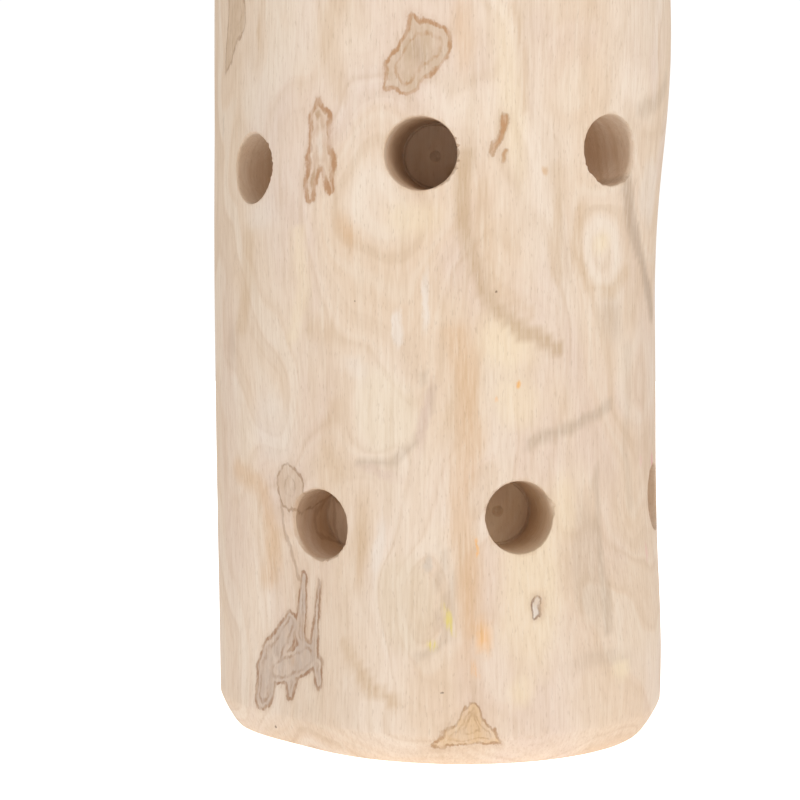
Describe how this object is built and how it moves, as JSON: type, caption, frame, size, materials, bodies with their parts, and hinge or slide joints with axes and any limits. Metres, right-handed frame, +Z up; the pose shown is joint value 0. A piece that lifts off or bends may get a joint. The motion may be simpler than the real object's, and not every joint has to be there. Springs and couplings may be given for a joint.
{
  "type": "java wood foraging tube",
  "caption": "Solid round log of peeled wood, sawn flat at both ends, with staggered rows of blind round holes bored into its side to hide food in for a foraging bird.",
  "frame": {"origin": "middle of the flat sawn base that the log stands on", "axes": "+Z up along the log, -Y towards the side that the picture shows, +X to that side's right"},
  "size_m": [0.1069, 0.1059, 0.255],
  "materials": {
    "peeled_wood": "bare peeled and lightly sanded pale wood, matt, with thin brown-edged bark scars and darker bored holes"
  },
  "bodies": {
    "root": {"drilled_log": "peeled_wood"}
  },
  "joints": []
}
